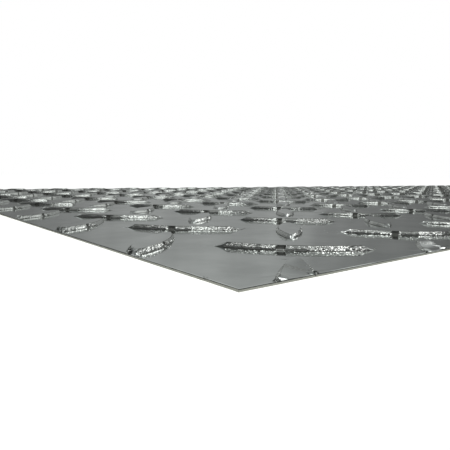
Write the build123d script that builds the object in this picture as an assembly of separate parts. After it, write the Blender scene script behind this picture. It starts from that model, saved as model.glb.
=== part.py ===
from build123d import *

import os
from math import ceil, sqrt

# A long, very thin mat: a bright metal facing with raised diamond tread lugs, bonded by a film to a
# flat pale foam backing.
# Frame: X along the mat's length, Y across it, Z up; origin at the centre of the flat underside.

# Driving dimensions, mm
MAT_LENGTH = 1830.0
MAT_WIDTH = 508.0
BACKING_THICKNESS = 0.44
FILM_THICKNESS = 0.03
FACING_THICKNESS = 0.15

LUG_SPACING = 34.0  # from a lug's centre to the centre of the nearest lug, which points the other way
LUG_LENGTH = 38.2
LUG_WIDTH = 8.2
LUG_HEIGHT = 1.25
FLANK_TAPER = 32.0  # degrees from upright, all round a lug
FIRST_LUG_X = 35.0  # centre of the first falling lug, from the mat's corner
FIRST_LUG_Y = 21.7
SIDE_RAMP = 4.5  # along the long sides, border lugs are pressed down to the flat over this distance
END_RAMP = 1.0  # along the short ends

# Worked out from them
GRID = LUG_SPACING * sqrt(2)  # between lugs that point the same way, along X and along Y
FILM_BASE = BACKING_THICKNESS
FACING_BASE = FILM_BASE + FILM_THICKNESS
FACING_TOP = FACING_BASE + FACING_THICKNESS
FALLING = -45.0  # a lug's heading from +X, degrees
RISING = 45.0
SMALLEST_PIECE = 3.0  # mm3; less than this of a border lug is flattened away


def layer(base, thickness):
    """A flat sheet of the mat's full outline, from base upwards."""
    return Pos(0, 0, base + thickness / 2) * Box(MAT_LENGTH, MAT_WIDTH, thickness)


def make_lug():
    """One whole lug: two arcs that meet in sharp tips, leaning in to a flat top."""
    left_tip = (-LUG_LENGTH / 2, 0)
    right_tip = (LUG_LENGTH / 2, 0)
    lower_arc = ThreePointArc(left_tip, (0, -LUG_WIDTH / 2), right_tip)
    upper_arc = ThreePointArc(right_tip, (0, LUG_WIDTH / 2), left_tip)
    return extrude(make_face([lower_arc, upper_arc]), LUG_HEIGHT, taper=FLANK_TAPER)


def lug_places():
    """Every lug's centre and heading, with the lugs that only reach in over the border."""
    columns = ceil(MAT_LENGTH / GRID)
    rows = ceil(MAT_WIDTH / GRID)
    for heading, shift in ((FALLING, 0.0), (RISING, GRID / 2)):
        for column in range(-1, columns + 1):
            for row in range(-1, rows + 1):
                x = FIRST_LUG_X + shift + column * GRID - MAT_LENGTH / 2
                y = FIRST_LUG_Y + shift + row * GRID - MAT_WIDTH / 2
                yield x, y, heading


def is_inside(x, y):
    """Whether a lug centred here is clear of the border ramp all round."""
    reach = LUG_LENGTH / 2 / sqrt(2) + LUG_WIDTH / 4
    clear_of_ends = abs(x) + reach + END_RAMP < MAT_LENGTH / 2
    clear_of_sides = abs(y) + reach + SIDE_RAMP < MAT_WIDTH / 2
    return clear_of_ends and clear_of_sides


def is_outside(x, y):
    """Whether a lug centred here is clear of the mat."""
    reach = LUG_LENGTH / 2 / sqrt(2)
    return abs(x) > MAT_LENGTH / 2 + reach or abs(y) > MAT_WIDTH / 2 + reach


def make_pressed_border():
    """The space lugs may fill: the mat's outline at the flat, drawn in by the ramps at lug height."""
    foot = Pos(0, 0, FACING_TOP) * Rectangle(MAT_LENGTH, MAT_WIDTH)
    crown = Rectangle(MAT_LENGTH - 2 * END_RAMP, MAT_WIDTH - 2 * SIDE_RAMP)
    return loft([foot, Pos(0, 0, FACING_TOP + LUG_HEIGHT) * crown], ruled=True)


def make_lugs():
    """All lugs on the facing's top, with the border ones ramped down to the cut edge."""
    whole_lug = make_lug()
    pressed_border = make_pressed_border()
    lugs = []
    for x, y, heading in lug_places():
        if is_outside(x, y):
            continue
        lug = Pos(x, y, FACING_TOP) * Rot(0, 0, heading) * whole_lug
        if not is_inside(x, y):
            lug = lug & pressed_border
        if lug is not None and lug.volume > SMALLEST_PIECE:
            lugs.append(lug)
    return lugs


def make_facing():
    """The metal skin and its lugs, as one solid."""
    return layer(FACING_BASE, FACING_THICKNESS) + make_lugs()


nodes = {
    "foam_backing": layer(0.0, BACKING_THICKNESS),
    "bond_film": layer(FILM_BASE, FILM_THICKNESS),
    "tread_facing": make_facing(),
}

os.makedirs("parts", exist_ok=True)
for name, shape in nodes.items():
    export_step(shape, f"parts/{name}.step")
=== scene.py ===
import bpy
import bmesh
import math
import numpy as np
from mathutils import Matrix, Vector
from mathutils.noise import noise as noise_at


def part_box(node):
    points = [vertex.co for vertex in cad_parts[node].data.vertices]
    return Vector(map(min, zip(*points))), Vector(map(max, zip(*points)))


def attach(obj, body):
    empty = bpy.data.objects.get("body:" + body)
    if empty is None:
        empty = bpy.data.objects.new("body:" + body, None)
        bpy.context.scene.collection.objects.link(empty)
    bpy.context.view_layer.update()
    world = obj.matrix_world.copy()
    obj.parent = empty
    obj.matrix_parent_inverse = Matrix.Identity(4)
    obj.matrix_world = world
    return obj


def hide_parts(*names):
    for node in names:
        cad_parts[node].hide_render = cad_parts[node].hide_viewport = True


# A long, very thin mat seen from one corner: a bright metal facing with raised diamond tread lugs, on a
# film and a pale foam backing. Metres; X along the mat, Y across it, Z up, origin under its middle.

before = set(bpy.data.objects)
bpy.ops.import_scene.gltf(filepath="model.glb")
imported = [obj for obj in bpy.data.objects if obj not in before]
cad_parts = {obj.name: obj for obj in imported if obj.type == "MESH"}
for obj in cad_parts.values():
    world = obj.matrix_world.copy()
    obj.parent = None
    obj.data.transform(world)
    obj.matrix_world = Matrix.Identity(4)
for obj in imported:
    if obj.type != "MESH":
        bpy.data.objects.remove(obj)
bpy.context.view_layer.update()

# The tread pattern
SPACING = 0.034  # from a lug's centre to the nearest lug's, which points the other way
GRID = SPACING * math.sqrt(2)
HALF_LENGTH = 0.0191
HALF_WIDTH = 0.0041
LUG_HEIGHT = 0.00125
FLANK_TAPER = math.radians(32)  # from upright
FIRST_LUG = (0.035, 0.0217)  # from the mat's near corner
SIDE_RAMP = 0.009  # along the long sides, border lugs are pressed flat over this distance
END_RAMP = 0.001  # along the short ends
CRUMPLE_REACH = 0.003  # their flanks are crumpled this far in
CRUMPLE = 0.0004  # and by up to this at the cut edge
PATCH_SCALE = 400  # of the noise that says where a pressed lug is torn
PATCH_LEVEL = 0.3  # it is torn where that noise is above this
ROLL_WIDTH = 0.00016  # the facing's top edge is rolled over by up to this
ROLL_EVEN = 0.55  # the share of that width which doesn't vary along the edge
ROLL_SCALE = 350  # of the noise that varies the rest
ROLL_DEPTH = 0.00007
FLANK_GRAIN = 0.8  # how hard a torn flank's normal is knocked about
SMOOTH, TORN, PAINTED_SHADE = 0, 1, 2  # the kinds of face, and their material slots; the third paints creases and nicks dark as shade
FALLING = math.radians(-45)  # headings of the two kinds of lug
RISING = math.radians(45)

# Where the CAD puts the layers
FACING_LOW, FACING_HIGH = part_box("tread_facing")
BACKING_LOW, BACKING_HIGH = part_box("foam_backing")
FLAT = FACING_HIGH.z - LUG_HEIGHT
CORNER = Vector((FACING_LOW.x, FACING_LOW.y, FLAT))

# The camera, from the near corner of the facing's flat top
CAMERA_BACK = Vector((-1.2376, -1.4564, 0.4894)) * SPACING
CAMERA_TURN = math.radians(38.4)  # its heading, from +Y towards +X
CAMERA_DIP = math.radians(6.18)
CAMERA_ROLL = math.radians(0.57)
CAMERA_LENS = 35.33

rng = np.random.default_rng(7)


# ---------------------------------------------------------------- node helpers


def new_material(name):
    """A node material with one Principled shader: (material, nodes, links, shader)."""
    material = bpy.data.materials.new(name)
    material.use_nodes = True
    nodes = material.node_tree.nodes
    return material, nodes, material.node_tree.links, nodes["Principled BSDF"]


def noise(nodes, links, place, scale, detail=3.0, roughness=0.5):
    """A noise texture over place; returns its value socket."""
    node = nodes.new("ShaderNodeTexNoise")
    node.inputs["Scale"].default_value = scale
    node.inputs["Detail"].default_value = detail
    node.inputs["Roughness"].default_value = roughness
    links.new(place, node.inputs["Vector"])
    return node.outputs["Fac"]


def between(nodes, links, value, low, high, low_out, high_out):
    """value mapped from low..high to low_out..high_out, clamped."""
    node = nodes.new("ShaderNodeMapRange")
    node.inputs["From Min"].default_value = low
    node.inputs["From Max"].default_value = high
    node.inputs["To Min"].default_value = low_out
    node.inputs["To Max"].default_value = high_out
    links.new(value, node.inputs["Value"])
    return node.outputs["Result"]


def tint(nodes, links, value, first, second):
    """A colour that runs from first to second with value."""
    node = nodes.new("ShaderNodeMix")
    node.data_type = "RGBA"
    node.inputs["A"].default_value = (*first, 1)
    node.inputs["B"].default_value = (*second, 1)
    links.new(value, node.inputs["Factor"])
    return node.outputs["Result"]


def bump(nodes, links, height, distance, under=None):
    """A bump of that distance in metres, over an earlier one if given."""
    node = nodes.new("ShaderNodeBump")
    node.inputs["Strength"].default_value = 1.0
    node.inputs["Distance"].default_value = distance
    links.new(height, node.inputs["Height"])
    if under is not None:
        links.new(under, node.inputs["Normal"])
    return node.outputs["Normal"]


def shaken(nodes, links, place, scale, reach, detail=3.0):
    """The surface's own normal, knocked about by a noise; unlike a bump it holds at any distance."""
    knocks = nodes.new("ShaderNodeTexNoise")
    knocks.inputs["Scale"].default_value = scale
    knocks.inputs["Detail"].default_value = detail
    knocks.inputs["Roughness"].default_value = 0.6
    links.new(place, knocks.inputs["Vector"])
    centred = nodes.new("ShaderNodeVectorMath")
    centred.operation = "MULTIPLY_ADD"
    centred.inputs[1].default_value = (reach, reach, reach)
    centred.inputs[2].default_value = (-reach / 2, -reach / 2, -reach / 2)
    links.new(knocks.outputs["Color"], centred.inputs[0])
    total = nodes.new("ShaderNodeVectorMath")
    links.new(centred.outputs[0], total.inputs[0])
    links.new(nodes.new("ShaderNodeNewGeometry").outputs["Normal"], total.inputs[1])
    unit = nodes.new("ShaderNodeVectorMath")
    unit.operation = "NORMALIZE"
    links.new(total.outputs[0], unit.inputs[0])
    return unit.outputs[0]


def object_place(nodes):
    return nodes.new("ShaderNodeTexCoord").outputs["Object"]


# ---------------------------------------------------------------- materials


def flat_metal():
    """Bright rolled skin: faint cloudy smears and a long low waviness."""
    material, nodes, links, shader = new_material("flat_metal")
    place = object_place(nodes)
    clouds = noise(nodes, links, place, 75.0, 4.0)
    fine = noise(nodes, links, place, 900.0, 2.0)
    wave = noise(nodes, links, place, 16.0, 1.0)
    smears = between(nodes, links, clouds, 0.35, 0.65, 0.0, 1.0)
    colour = tint(nodes, links, smears, (0.74, 0.77, 0.755), (0.93, 0.96, 0.945))
    links.new(colour, shader.inputs["Base Color"])
    links.new(between(nodes, links, clouds, 0.35, 0.65, 0.10, 0.04), shader.inputs["Roughness"])
    shader.inputs["Metallic"].default_value = 1.0
    low = bump(nodes, links, wave, 0.00012)
    links.new(bump(nodes, links, fine, 0.000003, low), shader.inputs["Normal"])
    return material


def flank_metal():
    """The lugs' torn, grainy flanks."""
    material, nodes, links, shader = new_material("flank_metal")
    place = object_place(nodes)
    grain = noise(nodes, links, place, 1500.0, 3.0, 0.6)
    lumps = noise(nodes, links, place, 420.0, 2.0)
    colour = tint(nodes, links, lumps, (0.62, 0.64, 0.61), (0.95, 0.97, 0.95))
    links.new(colour, shader.inputs["Base Color"])
    links.new(between(nodes, links, grain, 0.3, 0.7, 0.10, 0.22), shader.inputs["Roughness"])
    shader.inputs["Metallic"].default_value = 1.0
    links.new(shaken(nodes, links, place, 3000.0, FLANK_GRAIN, 1.5), shader.inputs["Normal"])
    return material


def painted_shade_metal():
    """The creases round a lug and its nicks, painted dark as shade."""
    material, nodes, links, shader = new_material("painted_shade_metal")
    place = object_place(nodes)
    # a noise that mottles the painted shade
    shade_mottle = noise(nodes, links, place, 900.0, 3.0)
    # painted shade: near black to mid grey
    colour = tint(nodes, links, shade_mottle, (0.08, 0.08, 0.07), (0.40, 0.41, 0.39))
    links.new(colour, shader.inputs["Base Color"])
    links.new(between(nodes, links, shade_mottle, 0.3, 0.7, 0.45, 0.3), shader.inputs["Roughness"])
    shader.inputs["Metallic"].default_value = 1.0
    return material


def foam():
    """Matt fine-celled foam, warm pale grey."""
    material, nodes, links, shader = new_material("backing_foam")
    place = object_place(nodes)
    cells = noise(nodes, links, place, 2600.0, 2.0)
    stains = noise(nodes, links, place, 60.0, 4.0)
    colour = tint(nodes, links, stains, (0.40, 0.41, 0.36), (0.53, 0.54, 0.48))
    links.new(colour, shader.inputs["Base Color"])
    links.new(between(nodes, links, cells, 0.3, 0.7, 0.75, 0.95), shader.inputs["Roughness"])
    links.new(bump(nodes, links, cells, 0.0001), shader.inputs["Normal"])
    return material


def film():
    """The adhesive film, a dark line at the cut edge."""
    material, nodes, links, shader = new_material("film")
    place = object_place(nodes)
    streaks = noise(nodes, links, place, 300.0, 3.0)
    colour = tint(nodes, links, streaks, (0.05, 0.05, 0.045), (0.12, 0.12, 0.11))
    links.new(colour, shader.inputs["Base Color"])
    links.new(between(nodes, links, streaks, 0.3, 0.7, 0.3, 0.6), shader.inputs["Roughness"])
    return material


# ---------------------------------------------------------------- the tread facing

ARC_RADIUS = (HALF_LENGTH**2 + HALF_WIDTH**2) / (2 * HALF_WIDTH)
ARC_DROP = ARC_RADIUS - HALF_WIDTH  # from an arc's centre to the lug's long axis
FOOT_TO_TOP = LUG_HEIGHT * math.tan(FLANK_TAPER)  # how far the flank leans in
CELL_POINTS = 16  # round a cell; a lug's outline has this many times its detail
CELL_REACH = 0.72  # from a cell's centre to its end beyond the lug's tip, in lug spacings

# (from, to, how high the flank's steep foot goes, how far it stands out, how torn it is), along a
# lug in lug spacings
STRETCHES = (
    (-1.0, -0.49, 0.25, 0.0, 0.2),
    (-0.49, -0.12, 0.42, 0.0, 1.0),
    (-0.12, -0.055, 0.3, -0.0004, 0.0),  # a nick, painted dark as shade above the foot
    (-0.055, 0.105, 0.35, 0.00016, 1.3),  # a shoulder that stands a little proud
    (0.105, 1.0, 0.28, 0.0, 0.8),
)
TIP = 0.05  # a lug slopes down to its tips over this distance, in lug spacings
TIP_CURVE = 0.4  # below 1, the slope is steepest at the very tip
FOOT = 0.2  # the share of the way in that the steep foot takes
LEDGE = 0.35  # the share of the way in at which a flank stands out or in the most
SHADE_SHARE = 0.1  # the share of a flank painted dark as shade at its rim, and half as much at its foot
TEAR = 0.00007  # how far a torn point may stand in or out
RAGGED = 1.5  # how much more than that a flank's foot and rim wander
LEAST_TORN = 0.18  # the share of its tearing that a flank has at its foot and rim
MOST_TORN = 1.2  # and would have midway, if it weren't held to 1
BARELY_TORN = 0.5  # a stretch torn less than this stays smooth

# (distance from the near corner, points per cell point, rows up a flank, strips across the top)
DETAILS = ((0.065, 16, 9, 4), (0.10, 10, 7, 4), (0.20, 5, 5, 2), (0.42, 2, 4, 1), (9.0, 1, 3, 1))


def lug_outline(inset, points):
    """The lug's outline drawn in by inset, anticlockwise from its right tip: (points, outward)."""
    radius = ARC_RADIUS - inset
    widest = math.acos(ARC_DROP / radius)
    angle = np.linspace(widest, -widest, points // 2, endpoint=False)
    outward = np.column_stack((np.sin(angle), np.cos(angle)))
    half = outward * radius - (0, ARC_DROP)
    return np.vstack((half, -half)), np.vstack((outward, -outward))


def cell_outline():
    """The edge of the patch of sheet that goes with one lug; such patches tile the plane."""
    half = np.array(((CELL_REACH, 0), (0.5, 0.5), (0, 1 - CELL_REACH), (-0.5, 0.5))) * SPACING
    corners = np.vstack((half, -half))
    middles = (corners + np.roll(corners, -1, axis=0)) / 2
    return np.stack((corners, middles), axis=1).reshape(-1, 2)


def flank_ring(share, points):
    """The flank's outline, a share of the way in from its foot, and how each point may be torn."""
    foot, outward = lug_outline(0.0, points)
    rim, _ = lug_outline(FOOT_TO_TOP, points)
    along = foot[:, 0] / SPACING
    rise = np.zeros(points)
    out = np.zeros(points)
    torn = np.zeros(points)
    for start, end, step, proud, tearing in STRETCHES:
        here = (along >= start) & (along < end)
        rise[here] = np.interp(share, (0, FOOT, 1), (0, step, 1))
        out[here] = proud * min(share / LEDGE, (1 - share) / (1 - LEDGE))
        torn[here] = tearing
    rise *= np.clip((HALF_LENGTH / SPACING - np.abs(along)) / TIP, 0, 1) ** TIP_CURVE
    level = foot + (rim - foot) * share + outward * out[:, None]
    slope = np.column_stack((outward * math.cos(FLANK_TAPER), np.full(points, math.sin(FLANK_TAPER))))
    if share in (0.0, 1.0):
        slope = np.column_stack((outward * RAGGED, np.zeros(points)))
    depth = torn * min(1.0, LEAST_TORN + (MOST_TORN - LEAST_TORN) * math.sin(math.pi * share))
    return np.column_stack((level, LUG_HEIGHT * rise)), slope * depth[:, None]


def flank_tears(points):
    """How torn the flank is from each outline point on to the next."""
    along = lug_outline(0.0, points)[0][:, 0] / SPACING
    middle = (along + np.roll(along, -1)) / 2
    return [next(tearing for start, end, *_, tearing in STRETCHES if start <= s < end) for s in middle]


def flank_kind(share, tear):
    """The kind of a flank's face, from its share of the way in and how torn it is."""
    nicked = tear == 0 and share > FOOT
    # a nick above the foot, and the flank's foot row, are painted dark as shade
    if nicked or share < SHADE_SHARE:
        return PAINTED_SHADE
    return SMOOTH if 0 < tear < BARELY_TORN else TORN


def ring_faces(low, high, count):
    """Quads between two rings of count points."""
    for k in range(count):
        after = (k + 1) % count
        yield low + k, low + after, high + after, high + k


def lug_template(detail, rows, strips):
    """One cell of sheet with its lug, pointing along X: points, how each may be torn, faces, kinds."""
    ring = CELL_POINTS * detail
    half = ring // 2
    points = [np.column_stack((cell_outline(), np.zeros(CELL_POINTS)))]
    tears = [np.zeros((CELL_POINTS, 3))]
    shares = [0.0, *np.linspace(SHADE_SHARE / 2, 1 - SHADE_SHARE, rows - 1), 1.0]
    for share in shares:
        outline, torn = flank_ring(share, ring)
        points.append(outline)
        tears.append(torn)
    upper = points[-1][1:half]
    lower = points[-1][:half:-1]
    for strip in range(1, strips):
        points.append(upper + (lower - upper) * strip / strips)
        tears.append(np.zeros((half - 1, 3)))
    faces = []
    for k in range(CELL_POINTS):
        near = [CELL_POINTS + (k * detail + step) % ring for step in range(detail + 1)]
        faces.append((k, (k + 1) % CELL_POINTS, *reversed(near)))
    kinds = [SMOOTH] * len(faces)
    for row in range(rows):
        low = CELL_POINTS + row * ring
        faces.extend(ring_faces(low, low + ring, ring))
    for share in shares[1:-1]:
        kinds += [flank_kind(share, tear) for tear in flank_tears(ring)]
    # the rim row is painted dark as shade too
    kinds += [PAINTED_SHADE] * ring
    top = CELL_POINTS + rows * ring
    lines = [list(range(top + 1, top + half))]
    lines += [[top + ring + strip * (half - 1) + k for k in range(half - 1)] for strip in range(strips - 1)]
    lines += [list(range(top + ring - 1, top + half, -1))]
    for line, after in zip(lines, lines[1:]):
        faces += [(line[k], line[k + 1], after[k + 1], after[k]) for k in range(half - 2)]
    faces.append((top, *[line[0] for line in lines]))
    faces.append((top + half, *[line[-1] for line in reversed(lines)]))
    kinds += [SMOOTH] * (len(faces) - len(kinds))
    return np.vstack(points), np.vstack(tears), faces, kinds


def lug_places():
    """(x, y, heading) of every lug that reaches the mat."""
    columns = math.ceil((FACING_HIGH.x - FACING_LOW.x) / GRID)
    rows = math.ceil((FACING_HIGH.y - FACING_LOW.y) / GRID)
    reach = SPACING * CELL_REACH
    for heading, shift in ((FALLING, 0.0), (RISING, GRID / 2)):
        for column in range(-1, columns + 1):
            for row in range(-1, rows + 1):
                x = CORNER.x + FIRST_LUG[0] + shift + column * GRID
                y = CORNER.y + FIRST_LUG[1] + shift + row * GRID
                if abs(x) < FACING_HIGH.x + reach and abs(y) < FACING_HIGH.y + reach:
                    yield x, y, heading


def tread_points():
    """Every cell of the sheet, laid side by side: points, faces and kinds."""
    templates = [lug_template(*detail) for _, *detail in DETAILS]
    all_points = []
    all_faces = []
    all_kinds = []
    count = 0
    for x, y, heading in lug_places():
        distance = math.hypot(x - CORNER.x, y - CORNER.y)
        level = next(i for i, detail in enumerate(DETAILS) if distance < detail[0])
        points, tears, faces, kinds = templates[level]
        torn = points + tears * rng.uniform(-TEAR, TEAR, (len(points), 1))
        turn = np.array(Matrix.Rotation(heading, 3, "Z"))
        all_points.append(torn @ turn.T + (x, y, FLAT))
        all_faces.extend(tuple(count + corner for corner in face) for face in faces)
        all_kinds.extend(kinds)
        count += len(points)
    return np.vstack(all_points), all_faces, all_kinds


def trim(bm):
    """Cuts the sheet to the mat's outline."""
    for normal, place in (
        ((-1, 0, 0), FACING_LOW),
        ((0, -1, 0), FACING_LOW),
        ((1, 0, 0), FACING_HIGH),
        ((0, 1, 0), FACING_HIGH),
    ):
        geometry = bm.verts[:] + bm.edges[:] + bm.faces[:]
        bmesh.ops.bisect_plane(
            bm, geom=geometry, dist=1e-7, plane_co=place, plane_no=normal, clear_outer=True
        )


def press_border(bm):
    """Presses the border lugs down to the flat at the cut edge, crumpling their flanks."""
    for vert in bm.verts:
        if vert.co.z < FLAT + 1e-6:
            continue
        end_gap = max(0.0, FACING_HIGH.x - abs(vert.co.x))
        side_gap = max(0.0, FACING_HIGH.y - abs(vert.co.y))
        share = min(end_gap / END_RAMP, side_gap / SIDE_RAMP, 1.0)
        vert.co.z = FLAT + (vert.co.z - FLAT) * share * share * (3 - 2 * share)
        gap = min(end_gap, side_gap)
        if 0 < gap < CRUMPLE_REACH and any(face.material_index != SMOOTH for face in vert.link_faces):
            vert.co += Vector(rng.uniform(-1, 1, 3)) * CRUMPLE * (1 - gap / CRUMPLE_REACH)
    for face in bm.faces:
        middle = face.calc_center_median()
        pressed = middle.z > FLAT + TEAR and FACING_HIGH.y - abs(middle.y) < SIDE_RAMP
        if pressed and noise_at(middle * PATCH_SCALE) > PATCH_LEVEL:
            face.material_index = TORN


def step_in(vert):
    """Moves a rim point in from the cut edge it is on, by an uneven width."""
    distance = ROLL_WIDTH * (ROLL_EVEN + (1 - ROLL_EVEN) * noise_at(vert.co * ROLL_SCALE))
    if FACING_HIGH.x - abs(vert.co.x) < ROLL_WIDTH:
        vert.co.x -= math.copysign(distance, vert.co.x)
    if FACING_HIGH.y - abs(vert.co.y) < ROLL_WIDTH:
        vert.co.y -= math.copysign(distance, vert.co.y)


def extrude_down(bm, rim, depth):
    """A wall of that depth under a rim of edges: (its new verts, its new edges)."""
    made = bmesh.ops.extrude_edge_only(bm, edges=rim)["geom"]
    verts = [item for item in made if isinstance(item, bmesh.types.BMVert)]
    for vert in verts:
        vert.co.z -= depth
    return verts, [item for item in made if isinstance(item, bmesh.types.BMEdge) and item.is_boundary]


def close_under(bm):
    """Gives the skin its rolled-over cut edge, its wall and its flat underside."""
    rim = [edge for edge in bm.edges if edge.is_boundary]
    top = {vert for edge in rim for vert in edge.verts}
    lower, rim = extrude_down(bm, rim, ROLL_DEPTH)
    for vert in top:
        step_in(vert)
    _, rim = extrude_down(bm, rim, FLAT - ROLL_DEPTH - FACING_LOW.z)
    bmesh.ops.contextual_create(bm, geom=rim)


def make_facing():
    """The metal skin: the tread cut to the mat's outline, with its border pressed down."""
    points, faces, kinds = tread_points()
    mesh = bpy.data.meshes.new("tread_skin")
    mesh.from_pydata(points.tolist(), [], faces)
    mesh.polygons.foreach_set("material_index", kinds)
    bm = bmesh.new()
    bm.from_mesh(mesh)
    bmesh.ops.remove_doubles(bm, verts=bm.verts[:], dist=2e-6)
    trim(bm)
    press_border(bm)
    close_under(bm)
    bmesh.ops.recalc_face_normals(bm, faces=bm.faces[:])
    for face in bm.faces:
        face.smooth = face.material_index == SMOOTH
    bm.to_mesh(mesh)
    bm.free()
    mesh.set_sharp_from_angle(angle=math.radians(25))
    mesh.materials.append(flat_metal())
    mesh.materials.append(flank_metal())
    # the third slot paints creases, nicks and rims dark as shade
    mesh.materials.append(painted_shade_metal())
    piece = bpy.data.objects.new("tread_skin", mesh)
    bpy.context.scene.collection.objects.link(piece)
    return piece


# ---------------------------------------------------------------- the backing


FIRST_STEP = 0.0015  # between places on the cut edge at the near corner
STEP_GROWTH = 0.02  # how much longer a step is for each metre along
EDGE_WANDER = 0.00003  # how unevenly the backing is cut

# (how high up the backing, how far its cut edge is drawn in there)
EDGE_ROWS = ((0.0, 0.00006), (0.18, 0.0), (0.5, 0.00003), (0.82, 0.0), (1.0, 0.00005))


def edge_steps(low, high):
    """Places along one side, close together near the near corner."""
    places = [low]
    while places[-1] < high:
        places.append(places[-1] + FIRST_STEP + (places[-1] - low) * STEP_GROWTH)
    places[-1] = high
    return places


def make_backing():
    """The foam layer: a slab whose cut edge is a little uneven."""
    low, high = BACKING_LOW, BACKING_HIGH
    along = edge_steps(low.x, high.x)
    across = edge_steps(low.y, high.y)
    loop = [(x, low.y, 0, -1) for x in along[:-1]]
    loop += [(high.x, y, 1, 0) for y in across[:-1]]
    loop += [(x, high.y, 0, 1) for x in reversed(along[1:])]
    loop += [(low.x, y, -1, 0) for y in reversed(across[1:])]
    bm = bmesh.new()
    rings = []
    for rise, inward in EDGE_ROWS:
        ring = []
        for x, y, out_x, out_y in loop:
            step = inward + rng.uniform(0, EDGE_WANDER)
            height = low.z + (high.z - low.z) * rise
            ring.append(bm.verts.new((x - out_x * step, y - out_y * step, height)))
        rings.append(ring)
    for below, above in zip(rings, rings[1:]):
        for k in range(len(loop)):
            after = (k + 1) % len(loop)
            bm.faces.new((below[k], below[after], above[after], above[k]))
    bm.faces.new(rings[0][::-1])
    bm.faces.new(rings[-1])
    mesh = bpy.data.meshes.new("backing_layer")
    bm.to_mesh(mesh)
    bm.free()
    mesh.shade_smooth()
    mesh.set_sharp_from_angle(angle=math.radians(50))
    mesh.materials.append(foam())
    piece = bpy.data.objects.new("backing_layer", mesh)
    bpy.context.scene.collection.objects.link(piece)
    return piece


facing = make_facing()
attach(facing, "root")
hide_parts("tread_facing")

backing = make_backing()
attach(backing, "root")
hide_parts("foam_backing")

film_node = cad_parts["bond_film"]
film_node.data.materials.clear()
film_node.data.materials.append(film())


# ---------------------------------------------------------------- floor, backdrop, light, camera

FLOOR_GAP = 0.0005  # keeps the floor clear of the mat's underside


def plain_white():
    """A material that glows an even white."""
    material = bpy.data.materials.new("backdrop")
    material.use_nodes = True
    nodes = material.node_tree.nodes
    nodes.clear()
    shader = nodes.new("ShaderNodeEmission")
    shader.inputs["Color"].default_value = (1, 1, 1, 1)
    shader.inputs["Strength"].default_value = 1.0
    output = nodes.new("ShaderNodeOutputMaterial")
    material.node_tree.links.new(shader.outputs[0], output.inputs["Surface"])
    return material


def hide_from_metal(stage):
    """Keeps a plain white surround from showing in the metal's mirror."""
    stage.visible_glossy = False
    stage.visible_transmission = False
    stage.visible_shadow = False


def make_floor():
    """A plain pale floor, which the metal doesn't mirror."""
    bpy.ops.mesh.primitive_plane_add(size=120, location=(0, 0, -FLOOR_GAP))
    floor = bpy.context.object
    floor.name = "floor"
    material, nodes, links, shader = new_material("floor")
    shader.inputs["Base Color"].default_value = (0.9, 0.9, 0.9, 1)
    shader.inputs["Roughness"].default_value = 0.9
    shader.inputs["Specular IOR Level"].default_value = 0.0
    shader.inputs["Emission Color"].default_value = (1, 1, 1, 1)
    shader.inputs["Emission Strength"].default_value = 0.8
    floor.data.materials.append(material)
    hide_from_metal(floor)


def make_backdrop():
    """A plain white surround far away."""
    bpy.ops.mesh.primitive_uv_sphere_add(radius=55, segments=48, ring_count=24)
    backdrop = bpy.context.object
    backdrop.name = "backdrop"
    backdrop.data.materials.append(plain_white())
    hide_from_metal(backdrop)
    backdrop.visible_diffuse = False


def toward(turn, rise):
    """A direction: turn degrees to the right of the camera's heading, rise degrees up."""
    heading = CAMERA_TURN + math.radians(turn)
    up = math.radians(rise)
    return Vector((math.sin(heading) * math.cos(up), math.cos(heading) * math.cos(up), math.sin(up)))


BEHIND = 0.07  # the room's brightness behind the mat, as the camera sees it
IN_FRONT = 0.04  # and behind the camera
GROUND = 0.02  # below the horizon
WALL = 0.09  # how much brighter the walls are low down, all round
WALL_FULL = math.sin(math.radians(14))  # up to this height
WALL_GONE = math.sin(math.radians(30))  # and no more from this height up
BAND = 0.022  # how much the walls vary all round

# (turn, rise, full within, gone beyond, strength): soft lamps and bright walls round the mat
GLOWS = (
    (0, 16, 4, 34, 0.115),  # the pale wall behind the mat, which the flats mirror
    (-33, 8, 8, 20, -0.045),  # its darker left end
    (33, 12, 20.5, 23.5, -0.075),  # and its darker right end
    (0, 50, 10, 45, 0.12),  # the upper part of that wall
    (180, 84, 15, 38, 0.2),  # a wide soft ceiling
    (187, 54.5, 6.5, 12, 1.9),  # a lamp high up behind the camera
    (42, 26, 8, 18, 0.7),  # and one behind the mat, on the right
    (-56, 38, 8, 20, 0.4),  # these two catch the rolled cut edges
    (73, 50, 8, 20, 0.5),
)

LAMP_DISTANCE = 0.3

# (name, the place it is aimed at, from the near corner, turn, rise, radius, glow, beam): lamps that only the
# lugs at that place mirror
LAMPS = (
    ("lug_lamp", (0.0422, 0.0145, 0.0), 138, 50, 0.07, 6.0, 18),
    ("lug_lamp_left", (0.0278, 0.0289, 0.0), 236, 61, 0.07, 4.0, 14),
    ("side_lamp", (0.011, 0.0457, 0.0), 38, 24, 0.05, 3.5, 16),
)


class NodeSum:
    """Adds numbers up in a node tree."""

    def __init__(self, nodes, links, first):
        self.nodes = nodes
        self.links = links
        self.total = first

    def add(self, value):
        node = self.nodes.new("ShaderNodeMath")
        self.links.new(self.total, node.inputs[0])
        self.links.new(value, node.inputs[1])
        self.total = node.outputs[0]


def facing_share(nodes, links, ray, direction, low, high, low_out, high_out):
    """A smooth step in how nearly a ray points along direction."""
    dot = nodes.new("ShaderNodeVectorMath")
    dot.operation = "DOT_PRODUCT"
    dot.inputs[1].default_value = direction
    links.new(ray, dot.inputs[0])
    fade = nodes.new("ShaderNodeMapRange")
    fade.interpolation_type = "SMOOTHSTEP"
    fade.inputs["From Min"].default_value = low
    fade.inputs["From Max"].default_value = high
    fade.inputs["To Min"].default_value = low_out
    fade.inputs["To Max"].default_value = high_out
    links.new(dot.outputs["Value"], fade.inputs["Value"])
    return fade.outputs["Result"]


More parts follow.
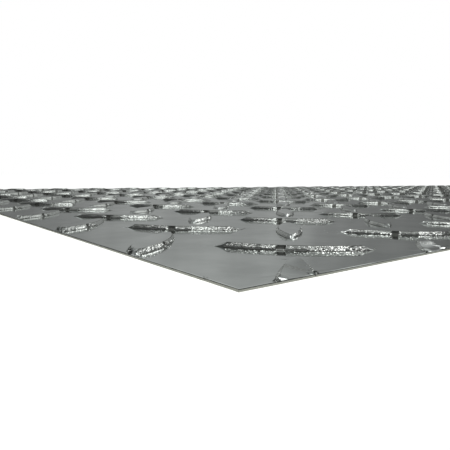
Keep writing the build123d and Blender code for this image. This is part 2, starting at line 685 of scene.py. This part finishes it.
def make_light():
    """Soft studio light from all round: a grey room with a few soft lamps."""
    world = bpy.data.worlds.new("studio")
    bpy.context.scene.world = world
    world.use_nodes = True
    nodes = world.node_tree.nodes
    links = world.node_tree.links
    ray = nodes.new("ShaderNodeTexCoord").outputs["Generated"]
    room = facing_share(nodes, links, ray, toward(0, 0), -0.2, 0.5, IN_FRONT, BEHIND)
    light = NodeSum(nodes, links, room)
    light.add(facing_share(nodes, links, ray, (0, 0, 1), WALL_FULL, WALL_GONE, WALL, 0.0))
    uneven = nodes.new("ShaderNodeVectorMath")
    uneven.operation = "MULTIPLY"
    uneven.inputs[1].default_value = (1, 1, 0.12)
    links.new(ray, uneven.inputs[0])
    bands = noise(nodes, links, uneven.outputs[0], 14.0, 2.0)
    light.add(between(nodes, links, bands, 0.3, 0.7, -BAND, BAND))
    for turn, rise, full, gone, strength in GLOWS:
        edge = (math.cos(math.radians(gone)), math.cos(math.radians(full)))
        light.add(facing_share(nodes, links, ray, toward(turn, rise), *edge, 0.0, strength))
    above = facing_share(nodes, links, ray, (0, 0, 1), -0.03, 0.01, 0.0, 1.0)
    lit = nodes.new("ShaderNodeMath")
    lit.operation = "MULTIPLY_ADD"
    links.new(light.total, lit.inputs[0])
    links.new(above, lit.inputs[1])
    lit.inputs[2].default_value = GROUND
    background = nodes["Background"]
    links.new(lit.outputs[0], background.inputs["Strength"])
    background.inputs["Color"].default_value = (0.97, 1.0, 0.985, 1)


def make_lamp(name, target, turn, rise, radius, glow, beam):
    """A round lamp aimed at a place on the mat. Outside its beam it isn't seen, even in a mirror."""
    aim = toward(turn, rise)
    half = math.radians(beam) / 2
    data = bpy.data.lights.new(name, "AREA")
    data.shape = "DISK"
    data.size = 2 * radius
    data.energy = glow * (math.pi * radius) ** 2 * (math.tan(half) - half) / math.tan(half)
    data.spread = math.radians(beam)
    data.use_shadow = False
    lamp = bpy.data.objects.new(name, data)
    lamp.location = CORNER + Vector(target) + aim * LAMP_DISTANCE
    lamp.rotation_mode = "QUATERNION"
    lamp.rotation_quaternion = aim.to_track_quat("Z", "Y")
    lamp.visible_camera = False
    bpy.context.scene.collection.objects.link(lamp)


def make_camera():
    """A camera low over the near corner, looking along the mat."""
    data = bpy.data.cameras.new("camera")
    data.lens = CAMERA_LENS
    data.sensor_width = 36
    data.clip_start = 0.002
    data.clip_end = 200
    camera = bpy.data.objects.new("camera", data)
    camera.matrix_world = (
        Matrix.Translation(CORNER + CAMERA_BACK)
        @ Matrix.Rotation(-CAMERA_TURN, 4, "Z")
        @ Matrix.Rotation(math.radians(90) - CAMERA_DIP, 4, "X")
        @ Matrix.Rotation(CAMERA_ROLL, 4, "Z")
    )
    bpy.context.scene.collection.objects.link(camera)
    bpy.context.scene.camera = camera


make_floor()
make_backdrop()
make_light()
for lamp in LAMPS:
    make_lamp(*lamp)
make_camera()
bpy.context.scene.view_settings.view_transform = "Standard"
